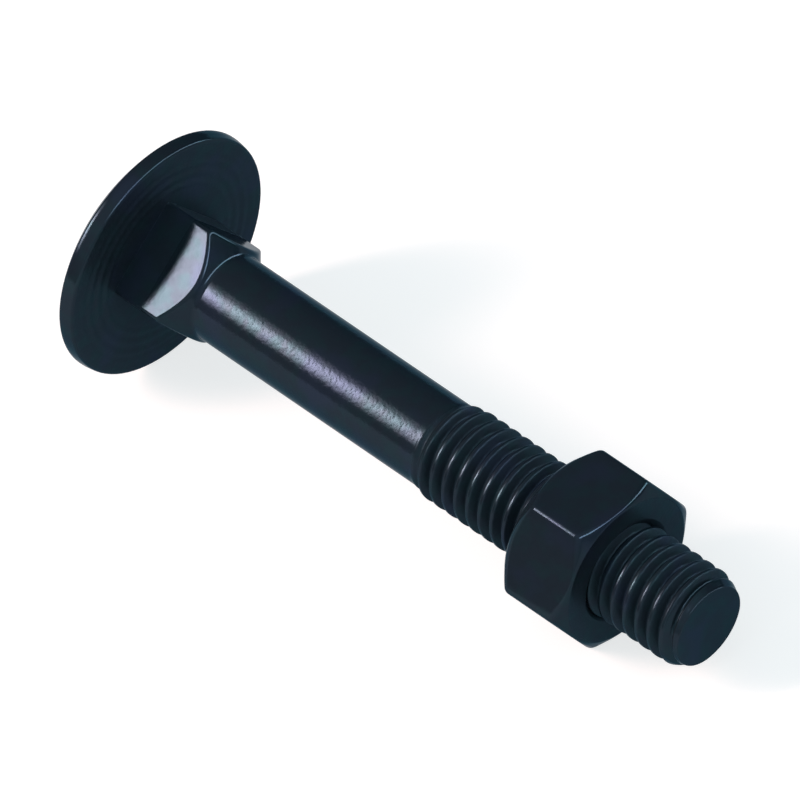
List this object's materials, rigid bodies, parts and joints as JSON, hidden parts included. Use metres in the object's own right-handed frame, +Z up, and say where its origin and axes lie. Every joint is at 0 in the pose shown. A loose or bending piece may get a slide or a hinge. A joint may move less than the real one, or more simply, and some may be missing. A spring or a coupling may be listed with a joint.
{
  "type": "carriage bolt",
  "caption": "Carriage bolt with a shallow domed head, square neck, plain shank and threaded end, a hexagon nut run onto its thread, lying as it comes to rest.",
  "frame": {"origin": "on the floor the bolt lies on, under the middle of its whole length", "axes": "+X along the bolt towards its tip, +Z up; the bolt's own axis dips 4.6 degrees below +X, because it lies on the edge of its head and on a flat of its nut"},
  "size_m": [0.0614, 0.0206, 0.0205],
  "materials": {
    "bolt_black": "gloss",
    "nut_black": "gloss"
  },
  "bodies": {
    "bolt": {"bolt": "bolt_black"},
    "nut": {"hex_nut": "nut_black"}
  },
  "joints": [
    {"name": "nut_travel", "type": "slide", "parent": "bolt", "child": "nut", "axis": [0.9968, 0, -0.0799], "range_m": [-0.01, 0.0175]}
  ]
}
